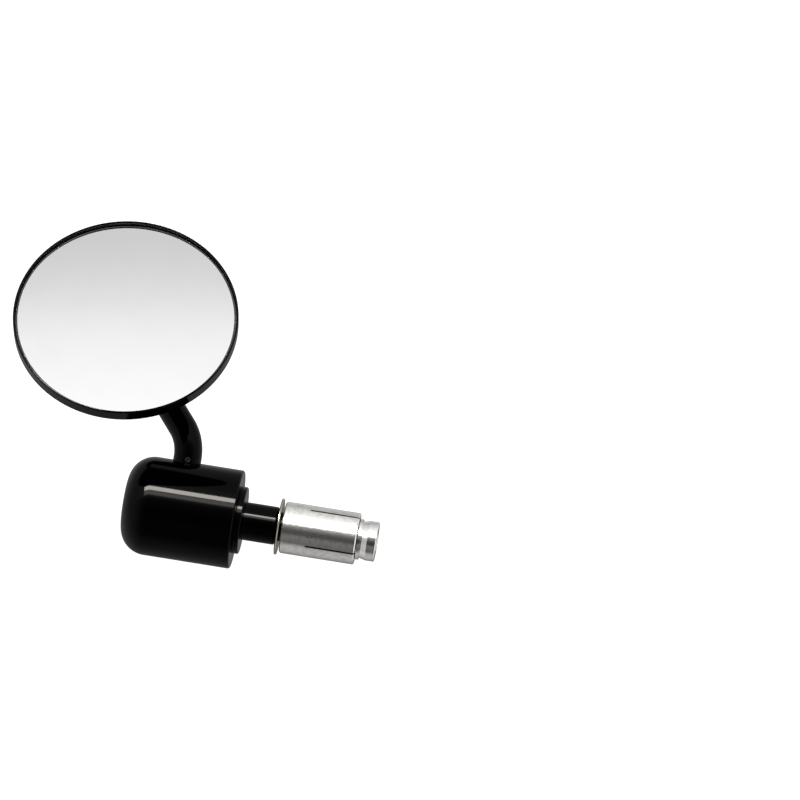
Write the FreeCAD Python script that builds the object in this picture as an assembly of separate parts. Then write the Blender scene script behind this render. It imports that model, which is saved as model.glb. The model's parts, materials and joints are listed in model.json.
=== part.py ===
"""Round bar-end mirror for a bicycle handlebar, as separate pieces that come apart on a bench.

Frame: millimetres. The origin is on the handlebar's axis, in the plane of the bar's open end.
+X runs into the handlebar, +Z is up along the arm's foot, and the glass faces -Y, tilted up.
The insert (spacer tube, collar, flange washer, slotted sleeve) stays in the handlebar. The barrel turns
round it, the arm turns on a post in the barrel, and the head tilts, pans and spins on a ball.
"""

import FreeCAD, Part
import math
import os

from FreeCAD import Placement, Rotation, Vector

X_AXIS = Vector(1, 0, 0)
Y_AXIS = Vector(0, 1, 0)
Z_AXIS = Vector(0, 0, 1)

# Running gap between faces that turn on each other, and the gap of a fitted piece.
RUN_GAP = 0.05
FIT_GAP = 0.02

# Insert, along +X from the bar's end plane
SLEEVE_R = 8.85
SLEEVE_START = 0.85
SLEEVE_END = 26.5
SLEEVE_BORE_R = 6.2
SLEEVE_WEB = 5.0
SLEEVE_MOUTH_START = 22.3
SLEEVE_MOUTH_R = 7.4
SLOT_START = 9.6
SLOT_WIDTH = 0.7
SLOT_COUNT = 4
SLOT_FIRST_ANGLE = 54.0
FLANGE_R = 9.7
FLANGE_THICK = 0.8
SPACER_R = 6.5
SPACER_OUT = 12.0
SPACER_DEPTH = 4.0
SPIGOT_R = 5.0
COLLAR_R = 11.5
COLLAR_THICK = 2.2

# Wedge nut, which the screw pulls into the sleeve's mouth
NUT_START = 20.5
NUT_START_R = 5.3
NUT_RING_START = 26.8
NUT_RING_END = 27.8
NUT_RING_R = 6.95
NUT_GROOVE_END = 28.3
NUT_GROOVE_R = 6.3
NUT_CONE_END = 30.1
NUT_END = 33.2
NUT_END_R = 6.8

# Barrel, outside the bar
BARREL_R = 16.9
BARREL_LENGTH = 38.55
BARREL_ROUND = 8.8
BARREL_INNER_END = -(FLANGE_THICK + SPACER_OUT + COLLAR_THICK)
BARREL_OUTER_END = BARREL_INNER_END - BARREL_LENGTH
HEAD_BORE_R = 5.6
HEAD_BORE_DEPTH = 12.0
SCREW_CLEAR_R = 3.3

# Main screw, an M6 x 75 socket head cap screw
SCREW_R = 3.0
SCREW_ROOT_R = 2.55
SCREW_PITCH = 1.0
SCREW_LENGTH = 75.0
SCREW_THREAD = 24.0
SCREW_HEAD_R = 5.0
SCREW_HEAD_LENGTH = 6.0
SCREW_KEY = 5.0
SCREW_KEY_DEPTH = 3.2
SCREW_TIP_CHAMFER = 0.5
LOCK_WASHER_THICK = 1.6
FLAT_WASHER_THICK = 1.2

# Arm and the post that it turns on
POST_X = -35.0
POST_R = 2.95
POST_BOTTOM = 6.0
POST_TOP = 21.0
POST_GROOVE_R = 2.4
POST_GROOVE_WIDTH = 1.8
POST_KEY = 3.0
POST_KEY_DEPTH = 2.5
POST_PITCH = 1.0
SPOT_FACE_Z = 15.7
SPOT_FACE_R = 4.95
FOOT_Z = 16.0
ARM_R = 4.8
ARM_CORNER_Z = 24.2
ARM_SLANT = 41.6
ARM_SLANT_LENGTH = 21.0
ARM_BEND_RADII = (14.0, 16.0, 9.5)
ARM_NECK_BACK = 22.0
GRUB_Z = 17.5
GRUB_R = 1.1
GRUB_KEY = 1.1
GRUB_TURN = 7.0

# Head, in its own frame: +Z out of the glass, origin at the centre of the rim's front plane
GLASS_TILT = 29.3
GLASS_PAN = -0.6
HEAD_X = -61.55
HEAD_Y = -18.0
HEAD_Z = 62.2
CASE_R = 38.0
RIM_INNER_R = 37.4
RIM_ROUND = 0.45
WALL_DEPTH = 4.6
POCKET_DEPTH = 4.5
LEDGE_R = 34.0
CASE_WALL = 2.0
DOME_MIDDLE_DEPTH = 10.6
DOME_BACK_DEPTH = 14.3
DOME_BULGE = 1.0
GLASS_R = 37.2
GLASS_CURVE = 800.0
GLASS_THICK = 1.9
GLASS_EDGE_DEPTH = 1.86
GLASS_BEVEL_WIDTH = 1.3
GLASS_BEVEL_DROP = 0.5
PAD_R = 36.0

# Ball joint at the middle of the case's back
BALL_DEPTH = 13.0
BALL_R = 5.5
BALL_NECK_R = 2.5
LINER_IN_R = 5.6
LINER_OUT_R = 6.5
SOCKET_R = 6.6
SOCKET_LIP_ANGLE = 120.0
SOCKET_MOUTH_R = 7.4
SEAT_ANGLES = (92.0, 118.0)
CUP_ANGLE = 62.0
CUP_TOP = 6.0
BOSS_R = 13.8
BOSS_TOP_DEPTH = 6.4
BOSS_BACK_DEPTH = 17.3
BOSS_CONE = 3.2
PLATE_R = 13.6
PLATE_THICK = 1.4
PLATE_HOLE_R = 2.5
PLATE_SCREW_COUNT = 3
PLATE_SCREW_CIRCLE = 10.3
PLATE_SCREW_R = 1.25
PLATE_SCREW_HEAD_R = 2.4
PLATE_SCREW_LENGTH = 6.0
SPRING_THICK = 0.3
SPRING_OUTER_R = 6.3
SPRING_HOLE_R = 3.4
RIB_COUNT = 6
RIB_THICK = 1.5
ARM_END_BACK = 8.0
ARM_CONE_LENGTH = 2.5
ARM_END_R = 3.4
STUD_SHANK_R = 2.5
STUD_SHANK_LENGTH = 7.0
STUD_SHOULDER_R = 3.2
STUD_PITCH = 0.8

HEAD_CENTRE = Vector(HEAD_X, HEAD_Y, HEAD_Z)
HEAD_ROTATION = Rotation(Z_AXIS, GLASS_PAN) * Rotation(X_AXIS, 90.0 - GLASS_TILT)
HEAD_PLACE = Placement(HEAD_CENTRE, HEAD_ROTATION)
GLASS_NORMAL = HEAD_ROTATION.multVec(Z_AXIS)
BALL_CENTRE = HEAD_CENTRE - GLASS_NORMAL * BALL_DEPTH

GRUB_WAY = Rotation(Z_AXIS, GRUB_TURN).multVec(-Y_AXIS)

SCREW_SEAT_X = BARREL_OUTER_END + HEAD_BORE_DEPTH
SCREW_NECK_X = SCREW_SEAT_X - FLAT_WASHER_THICK - LOCK_WASHER_THICK


def turned(axis, start, *steps):
    """A solid turned about the X or Z axis. A step is the next corner, or (point on the way, end) for an arc.

    About X a point is (x, radius), and about Z it is (radius, z)."""
    edges = []
    here = Vector(start[0], 0, start[1])
    for step in steps:
        if isinstance(step[0], tuple):
            middle = Vector(step[0][0], 0, step[0][1])
            there = Vector(step[1][0], 0, step[1][1])
            edges.append(Part.Arc(here, middle, there).toShape())
        else:
            there = Vector(step[0], 0, step[1])
            edges.append(Part.LineSegment(here, there).toShape())
        here = there
    first = Vector(start[0], 0, start[1])
    if here.distanceToPoint(first) > 1e-6:
        edges.append(Part.LineSegment(here, first).toShape())
    face = Part.Face(Part.Wire(edges))
    return face.revolve(Vector(0, 0, 0), axis, 360)


def polar(radius, degrees):
    """(radius, z) of a point on a ball about the origin, at an angle from +Z."""
    angle = math.radians(degrees)
    return (radius * math.sin(angle), radius * math.cos(angle))


def raised(point, height):
    """A (radius, z) point moved along the axis."""
    return (point[0], point[1] + height)


def hexagon(across_flats, depth, base, direction):
    """A hexagonal prism for a key socket."""
    corner = across_flats / math.sqrt(3)
    points = []
    for side in range(7):
        angle = math.radians(60 * side)
        points.append(Vector(corner * math.cos(angle), corner * math.sin(angle), 0))
    prism = Part.Face(Part.makePolygon(points)).extrude(Vector(0, 0, depth))
    prism.Placement = Placement(base, Rotation(Z_AXIS, direction))
    return prism


def thread_rings(start, end, crest, root, pitch):
    """Corners of ring grooves that stand for a thread, along the axis from start to end."""
    corners = []
    count = int(abs(end - start) / pitch)
    step = pitch if end > start else -pitch
    for turn in range(count):
        here = start + turn * step
        corners.append((here, crest))
        corners.append((here + 0.5 * step, root))
    corners.append((start + count * step, crest))
    return corners


def save(name, shape):
    """Writes one sub-part to its own file."""
    shape.exportStep("parts/" + name + ".step")


def on_circle(count, radius, first=0.0):
    """Angle in degrees and point of each place round a circle in the XY plane."""
    places = []
    for index in range(count):
        degrees = first + 360.0 * index / count
        angle = math.radians(degrees)
        places.append((degrees, Vector(radius * math.cos(angle), radius * math.sin(angle), 0)))
    return places


# Insert that stays in the handlebar


def make_spacer_tube():
    """Black tube between collar and sleeve. Its outer end sits in the barrel, and its spigot in the washer."""
    outer = BARREL_INNER_END - SPACER_DEPTH + RUN_GAP
    inner = -FLANGE_THICK
    chamfer = 0.9
    return turned(
        X_AXIS,
        (outer, SCREW_CLEAR_R),
        (outer, SPACER_R - 0.3),
        (outer + 0.3, SPACER_R),
        (inner - chamfer, SPACER_R),
        (inner, SPACER_R - chamfer),
        (inner, SPIGOT_R),
        (SLEEVE_START, SPIGOT_R),
        (SLEEVE_START, SCREW_CLEAR_R),
    )


def make_collar():
    """Thrust collar on the spacer tube, against the barrel's inner end."""
    outer = BARREL_INNER_END + RUN_GAP
    inner = BARREL_INNER_END + COLLAR_THICK
    edge = 0.3
    return turned(
        X_AXIS,
        (outer, SPACER_R + FIT_GAP),
        (outer, COLLAR_R),
        (inner - edge, COLLAR_R),
        (inner, COLLAR_R - edge),
        (inner, SPACER_R + FIT_GAP),
    )


def make_flange_washer():
    """Washer on the spacer's spigot. It stops on the bar's end, as it is wider than the bar's bore."""
    edge = 0.3
    bore = SPIGOT_R + FIT_GAP
    return turned(
        X_AXIS,
        (-FLANGE_THICK, bore),
        (-FLANGE_THICK, FLANGE_R - edge),
        (-FLANGE_THICK + edge, FLANGE_R),
        (-edge, FLANGE_R),
        (0, FLANGE_R - edge),
        (0, bore),
    )


def make_expander_sleeve():
    """Slotted sleeve that grips the bar's bore when the wedge nut spreads its leaves."""
    start_edge = 0.45
    edge = 0.35
    sleeve = turned(
        X_AXIS,
        (SLEEVE_START, SCREW_CLEAR_R),
        (SLEEVE_START, SLEEVE_R - start_edge),
        (SLEEVE_START + start_edge, SLEEVE_R),
        (SLEEVE_END - edge, SLEEVE_R),
        (SLEEVE_END, SLEEVE_R - edge),
        (SLEEVE_END, SLEEVE_MOUTH_R),
        (SLEEVE_MOUTH_START, SLEEVE_BORE_R),
        (SLEEVE_WEB, SLEEVE_BORE_R),
        (SLEEVE_WEB, SCREW_CLEAR_R),
    )
    for slot in range(SLOT_COUNT):
        angle = SLOT_FIRST_ANGLE + 360.0 * slot / SLOT_COUNT
        corner = Vector(SLOT_START, -2 * SLEEVE_R, -SLOT_WIDTH / 2)
        cut = Part.makeBox(SLEEVE_END - SLOT_START + 1, 2 * SLEEVE_R, SLOT_WIDTH, corner)
        cut.rotate(Vector(0, 0, 0), X_AXIS, -angle)
        sleeve = sleeve.cut(cut)
    return sleeve


def make_wedge_nut():
    """Coned nut with a grooved end, on the main screw's tip."""
    edge = 0.25
    bore = SCREW_R + RUN_GAP
    return turned(
        X_AXIS,
        (NUT_START, bore),
        (NUT_START, NUT_START_R),
        (NUT_RING_START, NUT_RING_R),
        (NUT_RING_END, NUT_RING_R),
        (NUT_RING_END + 0.2, NUT_GROOVE_R),
        (NUT_GROOVE_END, NUT_GROOVE_R),
        (NUT_CONE_END, NUT_END_R),
        (NUT_END - edge, NUT_END_R),
        (NUT_END, NUT_END_R - edge),
        (NUT_END, bore + edge),
        (NUT_END - edge, bore),
    )


def make_main_screw():
    """Socket head cap screw from the barrel's outer end to the wedge nut."""
    tip = SCREW_NECK_X + SCREW_LENGTH
    thread_end = tip - SCREW_TIP_CHAMFER
    head_end = SCREW_NECK_X - SCREW_HEAD_LENGTH
    edge = 0.5
    screw = turned(
        X_AXIS,
        (head_end, 0),
        (head_end, SCREW_HEAD_R - edge),
        (head_end + edge, SCREW_HEAD_R),
        (SCREW_NECK_X, SCREW_HEAD_R),
        (SCREW_NECK_X, SCREW_R),
        *thread_rings(tip - SCREW_THREAD, thread_end, SCREW_R, SCREW_ROOT_R, SCREW_PITCH),
        (tip, SCREW_ROOT_R),
        (tip, 0),
    )
    return screw.cut(hexagon(SCREW_KEY, SCREW_KEY_DEPTH, Vector(head_end, 0, 0), X_AXIS))


def make_lock_washer():
    """Split spring washer under the main screw's head."""
    bore = SCREW_R + 0.1
    inner = SCREW_NECK_X + LOCK_WASHER_THICK - RUN_GAP
    ring = turned(
        X_AXIS,
        (SCREW_NECK_X, bore),
        (SCREW_NECK_X, SCREW_HEAD_R),
        (inner, SCREW_HEAD_R),
        (inner, bore),
    )
    split_width = 0.5
    split_slant = 25
    reach = 4 * LOCK_WASHER_THICK
    split = Part.makeBox(reach, split_width, 2 * SCREW_HEAD_R, Vector(-reach / 2, -split_width / 2, 0))
    split.rotate(Vector(0, 0, 0), Z_AXIS, split_slant)
    split.translate(Vector((SCREW_NECK_X + inner) / 2, 0, 0))
    return ring.cut(split)


# Barrel, and what stays in it when it turns


def make_barrel():
    """Turned barrel with a rounded outer end, bored for the screw, its head, the spacer tube and the post."""
    edge = 0.4
    shoulder = BARREL_OUTER_END + BARREL_ROUND
    round_middle = BARREL_ROUND * math.sqrt(0.5)
    seat_end = BARREL_INNER_END - SPACER_DEPTH
    barrel = turned(
        X_AXIS,
        (BARREL_OUTER_END + edge, HEAD_BORE_R),
        (BARREL_OUTER_END, HEAD_BORE_R + edge),
        (BARREL_OUTER_END, BARREL_R - BARREL_ROUND),
        (
            (shoulder - round_middle, BARREL_R - BARREL_ROUND + round_middle),
            (shoulder, BARREL_R),
        ),
        (BARREL_INNER_END - edge, BARREL_R),
        (BARREL_INNER_END, BARREL_R - edge),
        (BARREL_INNER_END, SPACER_R + RUN_GAP),
        (seat_end, SPACER_R + RUN_GAP),
        (seat_end, SCREW_CLEAR_R),
        (SCREW_SEAT_X, SCREW_CLEAR_R),
        (SCREW_SEAT_X, HEAD_BORE_R),
    )
    post_hole = Part.makeCylinder(POST_R + RUN_GAP, BARREL_R, Vector(POST_X, 0, POST_BOTTOM))
    spot_face = Part.makeCylinder(SPOT_FACE_R, BARREL_R, Vector(POST_X, 0, SPOT_FACE_Z))
    return barrel.cut(post_hole).cut(spot_face)


def make_flat_washer():
    """Plain washer on the floor of the barrel's counterbore."""
    outer = SCREW_SEAT_X - FLAT_WASHER_THICK
    bore = SCREW_R + 0.2
    rim = HEAD_BORE_R - 0.1
    return turned(
        X_AXIS,
        (outer, bore),
        (outer, rim),
        (SCREW_SEAT_X, rim),
        (SCREW_SEAT_X, bore),
    )


def make_arm_post():
    """Post screwed into the barrel, with a groove for the arm's grub screw and a key socket on top."""
    groove_low = GRUB_Z - POST_GROOVE_WIDTH / 2
    groove_high = GRUB_Z + POST_GROOVE_WIDTH / 2
    groove_slope = 0.2
    edge = 0.4
    thread_top = SPOT_FACE_Z - 0.5
    rings = thread_rings(POST_BOTTOM + edge, thread_top, POST_R, POST_R - edge, POST_PITCH)
    outline = [(radius, height) for height, radius in rings]
    post = turned(
        Z_AXIS,
        (0, POST_BOTTOM),
        (POST_R - edge, POST_BOTTOM),
        *outline,
        (POST_R, groove_low),
        (POST_GROOVE_R, groove_low + groove_slope),
        (POST_GROOVE_R, groove_high - groove_slope),
        (POST_R, groove_high),
        (POST_R, POST_TOP - edge),
        (POST_R - edge, POST_TOP),
        (0, POST_TOP),
    )
    post.translate(Vector(POST_X, 0, 0))
    key_floor = Vector(POST_X, 0, POST_TOP - POST_KEY_DEPTH)
    return post.cut(hexagon(POST_KEY, POST_KEY_DEPTH, key_floor, Z_AXIS))


def make_thrust_washer():
    """Nylon washer between the barrel's spot face and the arm's foot."""
    washer = turned(
        Z_AXIS,
        (POST_R + RUN_GAP, SPOT_FACE_Z),
        (ARM_R, SPOT_FACE_Z),
        (ARM_R, FOOT_Z - FIT_GAP),
        (POST_R + RUN_GAP, FOOT_Z - FIT_GAP),
    )
    washer.translate(Vector(POST_X, 0, 0))
    return washer


# Arm


def arm_corners():
    """Corners of the arm's centreline: foot, three bends, and the end behind the ball."""
    slant = math.radians(ARM_SLANT)
    foot = Vector(POST_X, 0, FOOT_Z)
    first = Vector(POST_X, 0, ARM_CORNER_Z)
    third = BALL_CENTRE - GLASS_NORMAL * ARM_NECK_BACK
    across = ARM_SLANT_LENGTH * math.sin(slant)
    up = ARM_SLANT_LENGTH * math.cos(slant)
    level = math.hypot(third.x - POST_X + across, third.z - ARM_CORNER_Z - up)
    back = third.y * ARM_SLANT_LENGTH / (ARM_SLANT_LENGTH + level)
    second = first + Vector(-across, back, up)
    end = BALL_CENTRE - GLASS_NORMAL * (ARM_END_BACK + ARM_CONE_LENGTH)
    return [foot, first, second, third, end]


def rounded_path(corners, radii):
    """Straight runs through the corners, joined by tangent arcs."""
    edges = []
    here = corners[0]
    for index, radius in enumerate(radii, start=1):
        corner = corners[index]
        way_in = (corner - corners[index - 1]).normalize()
        way_out = (corners[index + 1] - corner).normalize()
        half_turn = way_in.getAngle(way_out) / 2
        tangent = radius * math.tan(half_turn)
        arc_start = corner - way_in * tangent
        arc_end = corner + way_out * tangent
        inward = (way_out - way_in).normalize()
        centre = corner + inward * (radius / math.cos(half_turn))
        edges.append(Part.LineSegment(here, arc_start).toShape())
        edges.append(Part.Arc(arc_start, centre - inward * radius, arc_end).toShape())
        here = arc_end
    edges.append(Part.LineSegment(here, corners[-1]).toShape())
    return Part.Wire(edges)


def make_arm():
    """Round arm, bored at its foot for the post and at its end for the ball stud."""
    corners = arm_corners()
    path = rounded_path(corners, ARM_BEND_RADII)
    section = Part.Wire([Part.makeCircle(ARM_R, corners[0], Z_AXIS)])
    rod = path.makePipeShell([section], True, False)
    cone = Part.makeCone(ARM_R, ARM_END_R, ARM_CONE_LENGTH, corners[-1], GLASS_NORMAL)
    arm = rod.fuse(cone)
    post_bore = Part.makeCylinder(POST_R + RUN_GAP, POST_TOP - FOOT_Z + 0.4, corners[0])
    grub_hole = Part.makeCylinder(GRUB_R, ARM_R + 1, Vector(POST_X, 0, GRUB_Z), GRUB_WAY)
    arm_end = BALL_CENTRE - GLASS_NORMAL * ARM_END_BACK
    stud_hole = Part.makeCylinder(STUD_SHANK_R, STUD_SHANK_LENGTH + 0.5, arm_end, -GLASS_NORMAL)
    return arm.cut(post_bore).cut(grub_hole).cut(stud_hole).removeSplitter()


def make_arm_grub_screw():
    """Grub screw in the front of the arm's foot. Its tip runs in the post's groove."""
    outer = ARM_R - 0.2
    tip_r = 0.65
    tip = POST_GROOVE_R + RUN_GAP
    edge = 0.15
    key_depth = 1.0
    screw = turned(
        Z_AXIS,
        (0, tip),
        (tip_r, tip),
        (tip_r, POST_R + RUN_GAP),
        (GRUB_R - FIT_GAP, POST_R + 0.5),
        (GRUB_R - FIT_GAP, outer - edge),
        (GRUB_R - FIT_GAP - edge, outer),
        (0, outer),
    )
    screw = screw.cut(hexagon(GRUB_KEY, key_depth, Vector(0, 0, outer - key_depth), Z_AXIS))
    screw.Placement = Placement(Vector(POST_X, 0, GRUB_Z), Rotation(Z_AXIS, GRUB_WAY))
    return screw


def make_ball_stud():
    """Ball with a neck, a shoulder and a shank that is screwed into the arm's end."""
    neck_join = math.sqrt(BALL_R**2 - BALL_NECK_R**2)
    crest = STUD_SHANK_R - FIT_GAP
    root = STUD_SHANK_R - 0.35
    thread_start = -ARM_END_BACK - 0.6
    thread_end = -ARM_END_BACK - STUD_SHANK_LENGTH + 0.4
    rings = thread_rings(thread_start, thread_end, crest, root, STUD_PITCH)
    shank = [(radius, height) for height, radius in rings]
    stud = turned(
        Z_AXIS,
        (0, BALL_R),
        ((BALL_R, 0), (BALL_NECK_R, -neck_join)),
        (BALL_NECK_R, -ARM_END_BACK + 1.0),
        (STUD_SHOULDER_R, -ARM_END_BACK + 0.7),
        (STUD_SHOULDER_R, -ARM_END_BACK),
        (root, -ARM_END_BACK),
        *shank,
        (root - 0.15, -ARM_END_BACK - STUD_SHANK_LENGTH),
        (0, -ARM_END_BACK - STUD_SHANK_LENGTH),
    )
    stud.Placement = Placement(BALL_CENTRE, HEAD_ROTATION)
    return stud


# Ball joint's nylon pieces


def make_ball_seat():
    """Nylon ring round the back of the ball, which the case's socket closes on."""
    top, bottom = SEAT_ANGLES
    middle = (top + bottom) / 2
    ring = turned(
        Z_AXIS,
        polar(LINER_IN_R, top),
        (polar(LINER_IN_R, middle), polar(LINER_IN_R, bottom)),
        polar(LINER_OUT_R, bottom),
        (polar(LINER_OUT_R, middle), polar(LINER_OUT_R, top)),
    )
    ring.Placement = Placement(BALL_CENTRE, HEAD_ROTATION)
    return ring


def make_ball_cup():
    """Nylon cup on the front of the ball, pressed back by the disc spring."""
    hole_angle = 15.0
    middle = (hole_angle + CUP_ANGLE) / 2
    low = polar(LINER_IN_R, CUP_ANGLE)
    high = polar(LINER_IN_R, hole_angle)
    cup = turned(
        Z_AXIS,
        low,
        (LINER_OUT_R, low[1]),
        (LINER_OUT_R, CUP_TOP),
        (high[0], CUP_TOP),
        high,
        (polar(LINER_IN_R, middle), low),
    )
    cup.Placement = Placement(BALL_CENTRE, HEAD_ROTATION)
    return cup


# Head, in its own frame


def dome_middle(edge_r, inset):
    """(radius, z) half way along the case's domed back, from a radius at its edge, set in by inset."""
    return ((edge_r + BOSS_R) / 2 + DOME_BULGE, -DOME_MIDDLE_DEPTH + inset)


def make_mirror_case():
    """Round shell with a pocket for the glass, a domed back, and the ball's socket in its middle."""
    lip = raised(polar(SOCKET_R, SOCKET_LIP_ANGLE), -BALL_DEPTH)
    lip_middle = raised(polar(SOCKET_R, (90 + SOCKET_LIP_ANGLE) / 2), -BALL_DEPTH)
    step = 0.6
    lip_edge = 0.1
    round_middle = RIM_ROUND * (1 - math.sqrt(0.5))
    case = turned(
        Z_AXIS,
        (RIM_INNER_R, -lip_edge),
        (RIM_INNER_R + lip_edge, 0),
        (CASE_R - RIM_ROUND, 0),
        ((CASE_R - round_middle, -round_middle), (CASE_R, -RIM_ROUND)),
        (CASE_R, -WALL_DEPTH),
        (CASE_R - step, -WALL_DEPTH - 0.5),
        (dome_middle(CASE_R, 0), (BOSS_R, -DOME_BACK_DEPTH)),
        (BOSS_R - BOSS_CONE + step, -BOSS_BACK_DEPTH + 0.5),
        (BOSS_R - BOSS_CONE, -BOSS_BACK_DEPTH),
        (SOCKET_MOUTH_R, -BOSS_BACK_DEPTH),
        lip,
        (lip_middle, (SOCKET_R, -BALL_DEPTH)),
        (SOCKET_R, -BOSS_TOP_DEPTH),
        (BOSS_R, -BOSS_TOP_DEPTH),
        (BOSS_R, -DOME_BACK_DEPTH + CASE_WALL),
        (dome_middle(LEDGE_R, CASE_WALL), (LEDGE_R, -WALL_DEPTH - 1.6)),
        (LEDGE_R, -POCKET_DEPTH),
        (RIM_INNER_R, -POCKET_DEPTH),
    )
    root = 0.4
    hollow = turned(
        Z_AXIS,
        (BOSS_R - root, -BOSS_TOP_DEPTH),
        (BOSS_R - root, -DOME_BACK_DEPTH + CASE_WALL - root),
        (dome_middle(LEDGE_R, CASE_WALL - root), (LEDGE_R + root, -WALL_DEPTH - 1.6 - root)),
        (LEDGE_R + root, -BOSS_TOP_DEPTH),
    )
    for degrees, _ in on_circle(RIB_COUNT, 1.0, 30.0):
        bar = Part.makeBox(CASE_R, RIB_THICK, CASE_R, Vector(0, -RIB_THICK / 2, -CASE_R))
        bar.rotate(Vector(0, 0, 0), Z_AXIS, degrees)
        case = case.fuse(hollow.common(bar))
    for _, place in on_circle(PLATE_SCREW_COUNT, PLATE_SCREW_CIRCLE, 90.0):
        hole = Part.makeCylinder(
            PLATE_SCREW_R, PLATE_SCREW_LENGTH, place - Z_AXIS * BOSS_TOP_DEPTH, -Z_AXIS
        )
        case = case.cut(hole)
    case = case.removeSplitter()
    case.Placement = HEAD_PLACE
    return case


def glass_height(radius, edge_z):
    """Height of a convex glass face at a radius from the axis, when its edge is at edge_z."""
    return edge_z + math.sqrt(GLASS_CURVE**2 - radius**2) - math.sqrt(GLASS_CURVE**2 - GLASS_R**2)


def make_mirror_glass():
    """Convex glass of even thickness, with a ground bevel round its front edge."""
    front = -GLASS_EDGE_DEPTH
    back = front - GLASS_THICK
    bevel_r = GLASS_R - GLASS_BEVEL_WIDTH
    half = GLASS_R / 2
    glass = turned(
        Z_AXIS,
        (0, glass_height(0, back)),
        ((half, glass_height(half, back)), (GLASS_R, back)),
        (GLASS_R, front - GLASS_BEVEL_DROP),
        (bevel_r, glass_height(bevel_r, front)),
        ((half, glass_height(half, front)), (0, glass_height(0, front))),
    )
    glass.Placement = HEAD_PLACE
    return glass


def make_adhesive_pad():
    """Foam adhesive pad that holds the glass to the case's ledge."""
    front = -GLASS_EDGE_DEPTH - GLASS_THICK - FIT_GAP
    half = PAD_R / 2
    pad = turned(
        Z_AXIS,
        (0, -POCKET_DEPTH),
        (PAD_R, -POCKET_DEPTH),
        (PAD_R, glass_height(PAD_R, front)),
        ((half, glass_height(half, front)), (0, glass_height(0, front))),
    )
    pad.Placement = HEAD_PLACE
    return pad


def make_disc_spring():
    """Coned disc spring between the retaining plate and the ball cup."""
    low = -BALL_DEPTH + CUP_TOP + FIT_GAP
    high = -BOSS_TOP_DEPTH
    lean = 0.1
    spring = turned(
        Z_AXIS,
        (SPRING_HOLE_R, high - SPRING_THICK),
        (SPRING_OUTER_R - lean, low),
        (SPRING_OUTER_R, low + SPRING_THICK),
        (SPRING_HOLE_R + lean, high),
    )
    spring.Placement = HEAD_PLACE
    return spring


def make_retaining_plate():
    """Plate across the socket's front, which holds the spring and cup on the ball."""
    low = -BOSS_TOP_DEPTH
    top = low + PLATE_THICK
    hole_r = PLATE_SCREW_R + 0.1
    plate = turned(
        Z_AXIS,
        (PLATE_HOLE_R, low),
        (PLATE_R, low),
        (PLATE_R, top),
        (PLATE_HOLE_R, top),
    )
    for _, place in on_circle(PLATE_SCREW_COUNT, PLATE_SCREW_CIRCLE, 90.0):
        countersink = turned(
            Z_AXIS,
            (0, low - 1),
            (hole_r, low - 1),
            (hole_r, low + 0.2),
            (PLATE_SCREW_HEAD_R, top),
            (0, top),
        )
        countersink.translate(place)
        plate = plate.cut(countersink)
    plate.Placement = HEAD_PLACE
    return plate


def make_plate_screws():
    """Countersunk screws of the retaining plate, with cross slots."""
    top = -BOSS_TOP_DEPTH + PLATE_THICK
    tip = top - PLATE_SCREW_LENGTH - 0.4
    shank_r = PLATE_SCREW_R - FIT_GAP
    head_depth = 1.2
    slot_length = 2.6
    slot_width = 0.5
    slot_depth = 0.7
    screws = []
    for degrees, place in on_circle(PLATE_SCREW_COUNT, PLATE_SCREW_CIRCLE, 90.0):
        screw = turned(
            Z_AXIS,
            (0, top),
            (PLATE_SCREW_HEAD_R - 0.1, top),
            (shank_r, top - head_depth),
            (shank_r, top - PLATE_SCREW_LENGTH),
            (shank_r - 0.4, tip),
            (0, tip),
        )
        for turn in (0, 90):
            corner = Vector(-slot_length / 2, -slot_width / 2, top - slot_depth)
            slot = Part.makeBox(slot_length, slot_width, slot_depth + 0.1, corner)
            slot.rotate(Vector(0, 0, 0), Z_AXIS, degrees + turn)
            screw = screw.cut(slot)
        screw.translate(place)
        screws.append(screw)
    group = Part.makeCompound(screws)
    group.Placement = HEAD_PLACE
    return group


MAKERS = {
    "spacer_tube": make_spacer_tube,
    "collar": make_collar,
    "flange_washer": make_flange_washer,
    "expander_sleeve": make_expander_sleeve,
    "wedge_nut": make_wedge_nut,
    "main_screw": make_main_screw,
    "lock_washer": make_lock_washer,
    "barrel": make_barrel,
    "flat_washer": make_flat_washer,
    "arm_post": make_arm_post,
    "thrust_washer": make_thrust_washer,
    "arm": make_arm,
    "arm_grub_screw": make_arm_grub_screw,
    "ball_stud": make_ball_stud,
    "ball_seat": make_ball_seat,
    "ball_cup": make_ball_cup,
    "mirror_case": make_mirror_case,
    "mirror_glass": make_mirror_glass,
    "adhesive_pad": make_adhesive_pad,
    "disc_spring": make_disc_spring,
    "retaining_plate": make_retaining_plate,
    "plate_screws": make_plate_screws,
}


def main():
    os.makedirs("parts", exist_ok=True)
    for name, maker in MAKERS.items():
        save(name, maker())


main()
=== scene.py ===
"""Looks for the bar-end mirror: materials, finer pieces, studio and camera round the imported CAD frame.

Metres, in the CAD's frame: +X runs into the handlebar, +Z up along the arm's foot, the glass faces -Y.
"""

import json
import math

import bpy
from mathutils import Matrix, Vector


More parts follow.
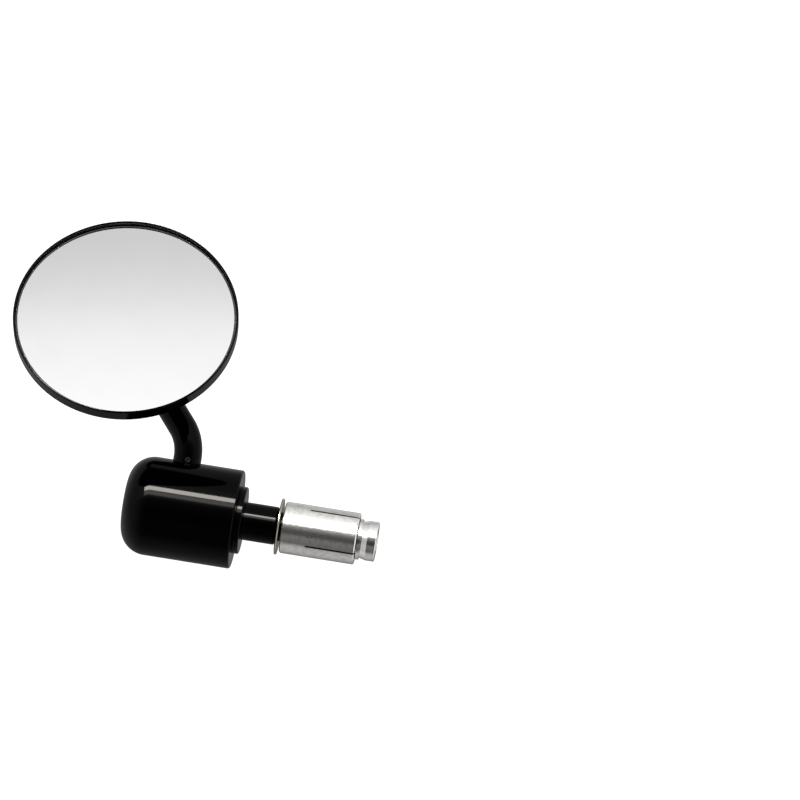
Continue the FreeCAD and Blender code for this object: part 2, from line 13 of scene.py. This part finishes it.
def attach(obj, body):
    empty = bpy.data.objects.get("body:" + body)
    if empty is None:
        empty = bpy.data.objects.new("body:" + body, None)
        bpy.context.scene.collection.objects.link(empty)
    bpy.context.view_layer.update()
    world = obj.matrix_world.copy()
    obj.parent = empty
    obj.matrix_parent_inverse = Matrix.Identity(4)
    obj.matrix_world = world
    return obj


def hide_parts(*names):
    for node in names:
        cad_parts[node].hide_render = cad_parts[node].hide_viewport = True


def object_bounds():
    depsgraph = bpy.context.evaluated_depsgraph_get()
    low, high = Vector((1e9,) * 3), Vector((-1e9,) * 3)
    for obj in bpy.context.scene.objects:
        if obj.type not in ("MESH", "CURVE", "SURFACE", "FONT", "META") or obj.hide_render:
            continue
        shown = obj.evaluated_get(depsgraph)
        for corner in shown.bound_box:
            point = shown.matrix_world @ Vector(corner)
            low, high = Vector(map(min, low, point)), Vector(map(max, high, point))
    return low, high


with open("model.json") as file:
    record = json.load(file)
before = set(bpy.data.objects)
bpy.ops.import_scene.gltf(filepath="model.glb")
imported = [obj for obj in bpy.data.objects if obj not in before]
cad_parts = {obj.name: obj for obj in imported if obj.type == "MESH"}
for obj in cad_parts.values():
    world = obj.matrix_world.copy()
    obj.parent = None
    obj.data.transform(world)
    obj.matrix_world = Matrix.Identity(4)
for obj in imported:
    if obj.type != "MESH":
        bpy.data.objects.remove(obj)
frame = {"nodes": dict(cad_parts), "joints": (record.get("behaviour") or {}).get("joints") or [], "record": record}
CAD_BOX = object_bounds()

# Camera: where it stands from the target, and how far the picture's middle lies from the target.
CAMERA_TARGET = Vector((-0.040, 0.0, 0.030))
CAMERA_AZIMUTH = 5.5
CAMERA_ELEVATION = -0.46
CAMERA_ROLL = 9.09
CAMERA_DISTANCE = 1.5
PICTURE_WIDTH = 0.2727
PICTURE_RIGHT = 0.07545
PICTURE_UP = 0.0072
SENSOR_WIDTH = 36.0
CLIP_START = 0.05
CLIP_END = 100.0

# Stage
FLOOR_DROP = 0.15
FLOOR_RADIUS = 12.0
FLOOR_SIDES = 64
FLOOR_COLOUR = (0.9, 0.9, 0.9, 1.0)

# Mirror glass, with the CAD's radius, curve, thickness and place. Its bevel is narrower than the CAD's.
# Depths run back from the rim's front plane, and the ball's centre lies BALL_DEPTH behind that plane.
BALL_DEPTH = 0.013
GLASS_R = 0.0372
GLASS_CURVE = 0.8
GLASS_THICK = 0.0019
GLASS_EDGE_DEPTH = 0.00186
GLASS_BEVEL_WIDTH = 0.0007
GLASS_BEVEL_DROP = 0.0003
GLASS_SIDES = 240
GLASS_RINGS = 36
CREASE = math.radians(10)


def camera_axes():
    """Unit vectors to the picture's right, its top, and back towards the camera."""
    azimuth = math.radians(CAMERA_AZIMUTH)
    elevation = math.radians(CAMERA_ELEVATION)
    roll = math.radians(CAMERA_ROLL)
    back = Vector(
        (
            math.sin(azimuth) * math.cos(elevation),
            -math.cos(azimuth) * math.cos(elevation),
            math.sin(elevation),
        )
    )
    level = Vector((math.cos(azimuth), math.sin(azimuth), 0))
    plumb = back.cross(level)
    right = level * math.cos(roll) + plumb * math.sin(roll)
    top = plumb * math.cos(roll) - level * math.sin(roll)
    return right, top, back


RIGHT, TOP, BACK = camera_axes()


# Node helpers


def add(tree, kind, inputs=None, **settings):
    """A node with its settings. Inputs are values, or sockets of other nodes to link."""
    node = tree.nodes.new(kind)
    for key, value in settings.items():
        setattr(node, key, value)
    for key, value in (inputs or {}).items():
        if isinstance(value, bpy.types.NodeSocket):
            tree.links.new(value, node.inputs[key])
        else:
            node.inputs[key].default_value = value
    return node


def calc(tree, operation, first, second=0.0, third=0.0):
    """The output of a Math node."""
    node = add(tree, "ShaderNodeMath", {0: first, 1: second, 2: third}, operation=operation)
    return node.outputs[0]


def along(tree, vector, direction):
    """A vector's length along a fixed direction."""
    node = add(tree, "ShaderNodeVectorMath", {0: vector, 1: tuple(direction)}, operation="DOT_PRODUCT")
    return node.outputs["Value"]


def remap(tree, value, old, new, interpolation="LINEAR"):
    """A value moved from its old (low, high) to the new pair, and held there beyond both ends."""
    ends = {"From Min": old[0], "From Max": old[1], "To Min": new[0], "To Max": new[1]}
    node = add(tree, "ShaderNodeMapRange", {"Value": value, **ends}, interpolation_type=interpolation)
    return node.outputs[0]


def window(tree, value, low, high, soft):
    """1 between low and high, falling smoothly to 0 over the soft width at each side."""
    rise = remap(tree, value, (low - soft, low), (0.0, 1.0), "SMOOTHSTEP")
    fall = remap(tree, value, (high, high + soft), (1.0, 0.0), "SMOOTHSTEP")
    return calc(tree, "MULTIPLY", rise, fall)


def noise(tree, place, scale, detail=3.0):
    """Cloudy noise from about 0.25 to 0.75. The scale is in lumps to the metre."""
    node = add(tree, "ShaderNodeTexNoise", {"Vector": place, "Scale": scale, "Detail": detail})
    return node.outputs[0]


def specks(tree, place, scale, size, share):
    """1 in small round specks and 0 elsewhere, one speck to a cell in this share of the cells."""
    cells = add(tree, "ShaderNodeTexVoronoi", {"Vector": place, "Scale": scale})
    chance = along(tree, cells.outputs["Color"], (1, 0, 0))
    chosen = calc(tree, "LESS_THAN", chance, share)
    spot = remap(tree, cells.outputs["Distance"], (0.5 * size, size), (1.0, 0.0))
    return calc(tree, "MULTIPLY", chosen, spot)


def tinted(tree, colour, amount, other):
    """A colour mixed towards another one by an amount from a socket."""
    node = add(tree, "ShaderNodeMix", {0: amount, 6: (*colour, 1.0), 7: (*other, 1.0)}, data_type="RGBA")
    return node.outputs[2]


def bumped(tree, height, depth):
    """A normal from a height of 0 to 1, for a relief of that depth in metres."""
    return add(tree, "ShaderNodeBump", {"Height": height, "Strength": 1.0, "Distance": depth}).outputs[0]


# Studio


# Brightness of the surroundings that glossy surfaces reflect, by the angle up from the camera's direction
# and over the object: 0 is towards the camera, 90 overhead, 180 behind the object, and -90 below.
SURROUNDINGS = (
    (-180, 0.25),
    (-150, 0.26),
    (-128, 0.46),
    (-104, 0.54),
    (-86, 0.5),
    (-76, 0.34),
    (-66, 0.12),
    (-40, 0.17),
    (-30, 0.17),
    (-20, 0.06),
    (-8, 0.06),
    (0, 0.11),
    (10, 0.25),
    (18, 0.4),
    (22, 0.7),
    (27, 1.9),
    (53, 2.0),
    (57, 1.93),
    (61, 1.74),
    (64, 1.44),
    (67, 1.23),
    (76, 1.15),
    (90, 0.9),
    (104, 0.74),
    (124, 0.5),
    (140, 0.62),
    (158, 0.6),
    (180, 0.25),
)
# The sides of the studio are pale: the table fades to this level between these angles to either side.
SIDE_LEVEL = 1.2
SIDE_ANGLES = (10.0, 75.0)
# Brightness that the camera and matt surfaces see in every direction.
EVEN_LEVEL = 1.25
WHITE = (1.0, 1.0, 1.0, 1.0)
# Lamps over the camera: heights are degrees up, sides degrees to the picture's right, and soft the degrees
# over which a lamp's upper and lower edges fade.
LAMPS = (
    {"heights": (40.5, 48.6), "soft": 1.5, "power": 100.0, "colour": (1.0, 0.96, 0.88, 1.0)},
    {"heights": (31.0, 36.0), "soft": 4.0, "power": 15.0, "colour": (1.0, 0.95, 0.9, 1.0)},
)
LAMP_SIDES = (-22.0, 6.0)
LAMP_SIDE_SOFT = 1.5


def make_world():
    """Even white for the camera and matt surfaces, and a studio with two lamps for glossy ones to reflect."""
    world = bpy.data.worlds.new("studio")
    bpy.context.scene.world = world
    world.use_nodes = True
    tree = world.node_tree
    tree.nodes.clear()
    direction = add(tree, "ShaderNodeTexCoord").outputs["Generated"]
    up = along(tree, direction, TOP)
    near = along(tree, direction, BACK)
    side = along(tree, direction, RIGHT)
    turn = calc(tree, "DEGREES", calc(tree, "ARCTAN2", up, near))
    sideways = calc(tree, "DEGREES", calc(tree, "ARCSINE", side))
    place = calc(tree, "DIVIDE", calc(tree, "ADD", turn, 180.0), 360.0)
    ramp = add(tree, "ShaderNodeValToRGB", {0: place})
    elements = ramp.color_ramp.elements
    while len(elements) < len(SURROUNDINGS):
        elements.new(1.0)
    for element, (angle, level) in zip(elements, SURROUNDINGS):
        element.position = (angle + 180.0) / 360.0
        element.color = (level, level, level, 1.0)
    away = remap(tree, calc(tree, "ABSOLUTE", sideways), SIDE_ANGLES, (0.0, 1.0), "SMOOTHSTEP")
    middle = add(tree, "ShaderNodeBackground", {"Color": ramp.outputs["Color"], "Strength": 1.0})
    pale = add(tree, "ShaderNodeBackground", {"Color": WHITE, "Strength": SIDE_LEVEL})
    studio = add(tree, "ShaderNodeMixShader", {0: away, 1: middle.outputs[0], 2: pale.outputs[0]})
    for lamp in LAMPS:
        upright = window(tree, turn, *lamp["heights"], lamp["soft"])
        across = window(tree, sideways, *LAMP_SIDES, LAMP_SIDE_SOFT)
        lit = calc(tree, "MULTIPLY", upright, across)
        strength = calc(tree, "MULTIPLY", lit, lamp["power"])
        glow = add(tree, "ShaderNodeBackground", {"Color": lamp["colour"], "Strength": strength})
        studio = add(tree, "ShaderNodeAddShader", {0: studio.outputs[0], 1: glow.outputs[0]})
    even = add(tree, "ShaderNodeBackground", {"Color": WHITE, "Strength": EVEN_LEVEL})
    path = add(tree, "ShaderNodeLightPath")
    glossy = path.outputs["Is Glossy Ray"]
    mixed = add(tree, "ShaderNodeMixShader", {0: glossy, 1: even.outputs[0], 2: studio.outputs[0]})
    add(tree, "ShaderNodeOutputWorld", {"Surface": mixed.outputs[0]})


def make_floor():
    """A wide pale floor, well below the object, that glossy surfaces don't reflect."""
    mesh = bpy.data.meshes.new("floor")
    points = []
    for side in range(FLOOR_SIDES):
        angle = 2 * math.pi * side / FLOOR_SIDES
        points.append((FLOOR_RADIUS * math.cos(angle), FLOOR_RADIUS * math.sin(angle), 0))
    mesh.from_pydata(points, [], [list(range(FLOOR_SIDES))])
    floor = bpy.data.objects.new("floor", mesh)
    floor.location.z = CAD_BOX[0].z - FLOOR_DROP
    floor.visible_glossy = False
    bpy.context.scene.collection.objects.link(floor)
    material = bpy.data.materials.new("floor")
    material.use_nodes = True
    shader = material.node_tree.nodes["Principled BSDF"]
    shader.inputs["Base Color"].default_value = FLOOR_COLOUR
    shader.inputs["Roughness"].default_value = 1.0
    shader.inputs["Specular IOR Level"].default_value = 0.0
    mesh.materials.append(material)


def make_camera():
    """The camera, aimed so that the object stands where it should in the picture."""
    data = bpy.data.cameras.new("camera")
    data.sensor_width = SENSOR_WIDTH
    data.lens = SENSOR_WIDTH * CAMERA_DISTANCE / PICTURE_WIDTH
    data.clip_start = CLIP_START
    data.clip_end = CLIP_END
    camera = bpy.data.objects.new("camera", data)
    bpy.context.scene.collection.objects.link(camera)
    bpy.context.scene.camera = camera
    place = CAMERA_TARGET + BACK * CAMERA_DISTANCE
    middle = CAMERA_TARGET + RIGHT * PICTURE_RIGHT + TOP * PICTURE_UP
    back = (place - middle).normalized()
    right = TOP.cross(back).normalized()
    top = back.cross(right)
    camera.matrix_world = Matrix.Translation(place) @ Matrix((right, top, back)).transposed().to_4x4()


def set_view():
    """Plain display colours, so that white stays white."""
    bpy.context.scene.view_settings.view_transform = "Standard"


# Materials. Scales are in lumps or cells to the metre, and depths of relief in metres.


# A point on each hinge's axis, and the direction of that axis.
HINGES = [joint for joint in frame["joints"] if joint["type"] == "hinge"]
AXES = {hinge["name"]: (Vector(hinge["pos_m"]), Vector(hinge["axis"])) for hinge in HINGES}
# Most of a noise's values lie between these two.
NOISE_SPREAD = (0.3, 0.7)


def principled(name, **values):
    """A new material, its tree, its Principled shader with the values set, and the object's coordinates."""
    material = bpy.data.materials.new(name)
    material.use_nodes = True
    tree = material.node_tree
    shader = tree.nodes["Principled BSDF"]
    for key, value in values.items():
        shader.inputs[key.replace("_", " ")].default_value = value
    place = add(tree, "ShaderNodeTexCoord").outputs["Object"]
    return material, tree, shader, place


def plug(tree, shader, **sockets):
    """Links sockets to the shader's inputs."""
    for key, socket in sockets.items():
        tree.links.new(socket, shader.inputs[key.replace("_", " ")])


def gloss_black(name, ior):
    """Smooth black finish with a faint orange peel, slightly uneven gloss and a few dust specks."""
    black = (0.0002, 0.0002, 0.0005)
    dust_colour = (0.003, 0.003, 0.003)
    roughness = (0.045, 0.08)
    peel_depth = 1.2e-6
    material, tree, shader, place = principled(name, IOR=ior)
    dust = specks(tree, place, scale=500.0, size=0.08, share=0.1)
    gloss = remap(tree, noise(tree, place, scale=260.0), NOISE_SPREAD, roughness)
    peel = noise(tree, place, scale=1500.0, detail=2.0)
    plug(
        tree,
        shader,
        Base_Color=tinted(tree, black, dust, dust_colour),
        Roughness=gloss,
        Normal=bumped(tree, peel, peel_depth),
    )
    return material


def lathe_way(tree, place, joint):
    """Distance along a turned piece's axis plus distance from it: the same all round a lathe ring."""
    point, axis = AXES[joint]
    offset = add(tree, "ShaderNodeVectorMath", {0: place, 1: tuple(point)}, operation="SUBTRACT").outputs[0]
    length = along(tree, offset, axis)
    down = add(tree, "ShaderNodeVectorMath", {0: tuple(axis), "Scale": length}, operation="SCALE").outputs[0]
    across = add(tree, "ShaderNodeVectorMath", {0: offset, 1: down}, operation="SUBTRACT").outputs[0]
    radius = add(tree, "ShaderNodeVectorMath", {0: across}, operation="LENGTH").outputs["Value"]
    return calc(tree, "ADD", length, radius)


def turned_metal(name, joint, colour, gloss, ring_depth, stain, pits):
    """Lathe-turned metal: rings, cloudy stains, uneven gloss and small dark pits.

    Gloss is the roughness's range, stain the stains' brightness, and pits the share of cells with a pit.
    """
    ring_scale = 5200.0
    lump_height = 1.6
    stain_spread = (0.4, 0.7)
    pit_colour = (0.05, 0.045, 0.04, 1.0)
    material, tree, shader, place = principled(name, Metallic=1.0)
    way = lathe_way(tree, place, joint)
    ring_values = {"W": way, "Scale": ring_scale, "Detail": 3.0}
    rings = add(tree, "ShaderNodeTexNoise", ring_values, noise_dimensions="1D")
    clouds = noise(tree, place, scale=700.0, detail=5.0)
    lumps = noise(tree, place, scale=1100.0, detail=3.0)
    pitted = specks(tree, place, scale=620.0, size=0.16, share=pits)
    stained = tuple(channel * stain for channel in colour)
    metal = tinted(tree, colour, remap(tree, clouds, stain_spread, (0.0, 1.0)), stained)
    surface = add(tree, "ShaderNodeMix", {0: pitted, 6: metal, 7: pit_colour}, data_type="RGBA")
    relief = calc(tree, "MULTIPLY_ADD", lumps, lump_height, rings.outputs[0])
    plug(
        tree,
        shader,
        Base_Color=surface.outputs[2],
        Roughness=remap(tree, clouds, NOISE_SPREAD, gloss),
        Normal=bumped(tree, relief, ring_depth),
    )
    return material


def nylon():
    """Off-white moulded nylon with a fine mould texture."""
    fresh = (0.82, 0.81, 0.76)
    yellowed = (0.74, 0.72, 0.65)
    roughness = (0.36, 0.5)
    grain_depth = 8e-6
    material, tree, shader, place = principled("nylon", Subsurface_Weight=0.15, Subsurface_Scale=0.001)
    clouds = noise(tree, place, scale=350.0, detail=4.0)
    grain = noise(tree, place, scale=4000.0)
    plug(
        tree,
        shader,
        Base_Color=tinted(tree, fresh, clouds, yellowed),
        Roughness=remap(tree, clouds, NOISE_SPREAD, roughness),
        Normal=bumped(tree, grain, grain_depth),
    )
    return material


def foam_tape():
    """Black closed-cell foam."""
    black = (0.012, 0.012, 0.012)
    grey = (0.035, 0.035, 0.033)
    roughness = (0.8, 0.95)
    cell_depth = 6e-5
    material, tree, shader, place = principled("foam_tape", Specular_IOR_Level=0.2)
    cells = add(tree, "ShaderNodeTexVoronoi", {"Vector": place, "Scale": 3000.0})
    patches = noise(tree, place, scale=900.0)
    clouds = noise(tree, place, scale=500.0)
    plug(
        tree,
        shader,
        Base_Color=tinted(tree, black, patches, grey),
        Roughness=remap(tree, clouds, NOISE_SPREAD, roughness),
        Normal=bumped(tree, cells.outputs["Distance"], cell_depth),
    )
    return material


def glass_finish(name, metallic, colour, dull, gloss, relief_scale, relief_depth):
    """Silvered or ground glass with a relief, duller and rougher where it is smeared.

    Gloss is the roughness's range.
    """
    dull_spread = (0.45, 0.75)
    rough_spread = (0.4, 0.75)
    material, tree, shader, place = principled(name, Metallic=metallic)
    smear = noise(tree, place, scale=90.0, detail=4.0)
    relief = noise(tree, place, scale=relief_scale, detail=2.0)
    plug(
        tree,
        shader,
        Base_Color=tinted(tree, colour, remap(tree, smear, dull_spread, (0.0, 1.0)), dull),
        Roughness=remap(tree, smear, rough_spread, gloss),
        Normal=bumped(tree, relief, relief_depth),
    )
    return material


ALUMINIUM = {
    "colour": (0.8, 0.785, 0.76),
    "gloss": (0.13, 0.22),
    "ring_depth": 1.4e-5,
    "stain": 0.8,
    "pits": 0.25,
}
STEEL = {
    "colour": (0.78, 0.77, 0.75),
    "gloss": (0.03, 0.07),
    "ring_depth": 1.2e-6,
    "stain": 0.85,
    "pits": 0.1,
}
DULL_STEEL = {
    "colour": (0.34, 0.31, 0.26),
    "gloss": (0.15, 0.25),
    "ring_depth": 4e-6,
    "stain": 0.8,
    "pits": 0.1,
}
BLACK_STEEL = {
    "colour": (0.075, 0.075, 0.08),
    "gloss": (0.28, 0.42),
    "ring_depth": 8e-6,
    "stain": 0.6,
    "pits": 0.1,
}


# Dressing: every CAD node gets the finish of its slot, except the case and the washer, which have their own.


TURNED_FINISHES = {
    "satin_aluminium": ALUMINIUM,
    "bright_steel": STEEL,
    "dull_steel": DULL_STEEL,
    "dark_steel": BLACK_STEEL,
}
OWN_FINISH = {"flange_washer": "dull_steel"}
# The hinge whose axis a node's lathe rings run round. All other nodes' rings run round barrel_turn's.
TURNED_ABOUT = {
    "arm_post": "arm_swivel",
    "arm_grub_screw": "arm_swivel",
    "ball_stud": "head_spin",
    "plate_screws": "head_spin",
    "retaining_plate": "head_spin",
    "disc_spring": "head_spin",
}
PLAIN_MATERIALS = {
    "gloss_black": gloss_black("gloss_black", ior=1.13),
    "nylon": nylon(),
    "foam_tape": foam_tape(),
    "mirror_glass": glass_finish(
        "mirror_glass",
        metallic=1.0,
        colour=(0.5, 0.5, 0.5),
        dull=(0.49, 0.49, 0.49),
        gloss=(0.0, 0.012),
        relief_scale=40.0,
        relief_depth=1e-8,
    ),
}
CASE_BLACK = gloss_black("case_black", ior=1.18)
BEVEL = glass_finish(
    "ground_bevel",
    metallic=0.0,
    colour=(0.13, 0.13, 0.135),
    dull=(0.18, 0.18, 0.18),
    gloss=(0.3, 0.45),
    relief_scale=3000.0,
    relief_depth=4e-6,
)
# Turned metals made so far, by name, so that nodes alike in finish and axis share one.
MADE = {}


def finish_of(node, slot):
    """The material of a node. A turned metal has its lathe rings about the node's own axis."""
    if node == "mirror_case":
        return CASE_BLACK
    if slot in PLAIN_MATERIALS:
        return PLAIN_MATERIALS[slot]
    joint = TURNED_ABOUT.get(node, "barrel_turn")
    finish = OWN_FINISH.get(node, slot)
    name = finish + "_" + joint
    if name not in MADE:
        MADE[name] = turned_metal(name, joint, **TURNED_FINISHES[finish])
    return MADE[name]


def dress_nodes():
    """Gives every CAD node its material."""
    for part in frame["record"]["subparts"]:
        node = frame["nodes"][part["node"]]
        node.data.materials.clear()
        node.data.materials.append(finish_of(part["node"], part["material_slot"]))


# Mirror glass, finer than the CAD's facets. Heights are 0 in the rim's front plane and negative behind it.


def glass_height(radius, edge):
    """Height of a convex face at a radius, when it is at the edge height at the glass's rim."""
    return edge + math.sqrt(GLASS_CURVE**2 - radius**2) - math.sqrt(GLASS_CURVE**2 - GLASS_R**2)


def convex_face(radius, edge):
    """(radius, height) of each ring of a convex face, from near its middle out to a radius."""
    rings = []
    for ring in range(1, GLASS_RINGS + 1):
        here = radius * ring / GLASS_RINGS
        rings.append((here, glass_height(here, edge)))
    return rings


def make_glass():
    """The convex glass with its ground bevel, standing for the CAD's. It rides on the head."""
    front = -GLASS_EDGE_DEPTH
    back = front - GLASS_THICK
    face = convex_face(GLASS_R - GLASS_BEVEL_WIDTH, front)
    rings = face + [(GLASS_R, front - GLASS_BEVEL_DROP)] + convex_face(GLASS_R, back)[::-1]
    points = [(0, 0, glass_height(0, front)), (0, 0, glass_height(0, back))]
    first = len(points)
    for radius, height in rings:
        for side in range(GLASS_SIDES):
            angle = 2 * math.pi * side / GLASS_SIDES
            points.append((radius * math.cos(angle), radius * math.sin(angle), height))
    faces = []
    last = first + (len(rings) - 1) * GLASS_SIDES
    for side in range(GLASS_SIDES):
        following = (side + 1) % GLASS_SIDES
        faces.append((0, first + side, first + following))
        for ring in range(len(rings) - 1):
            inner = first + ring * GLASS_SIDES
            outer = inner + GLASS_SIDES
            faces.append((inner + side, outer + side, outer + following, inner + following))
        faces.append((last + side, 1, last + following))
    mesh = bpy.data.meshes.new("convex_glass")
    mesh.from_pydata(points, [], faces)
    mesh.materials.append(PLAIN_MATERIALS["mirror_glass"])
    mesh.materials.append(BEVEL)
    # Each side's faces run from the front's middle to the back's. Those past the front are ground.
    faces_a_side = len(rings) + 1
    for polygon in mesh.polygons:
        polygon.use_smooth = True
        ring = polygon.index % faces_a_side
        polygon.material_index = 1 if ring >= GLASS_RINGS else 0
    mesh.set_sharp_from_angle(angle=CREASE)
    ball, normal = AXES["head_spin"]
    across = Vector((1, 0, 0)).cross(normal).normalized()
    turn = Matrix((across.cross(normal), across, normal)).transposed()
    glass = bpy.data.objects.new("convex_glass", mesh)
    glass.matrix_world = Matrix.Translation(ball + normal * BALL_DEPTH) @ turn.to_4x4()
    bpy.context.scene.collection.objects.link(glass)
    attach(glass, "head")
    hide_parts("mirror_glass")


make_world()
make_floor()
make_camera()
set_view()
dress_nodes()
make_glass()
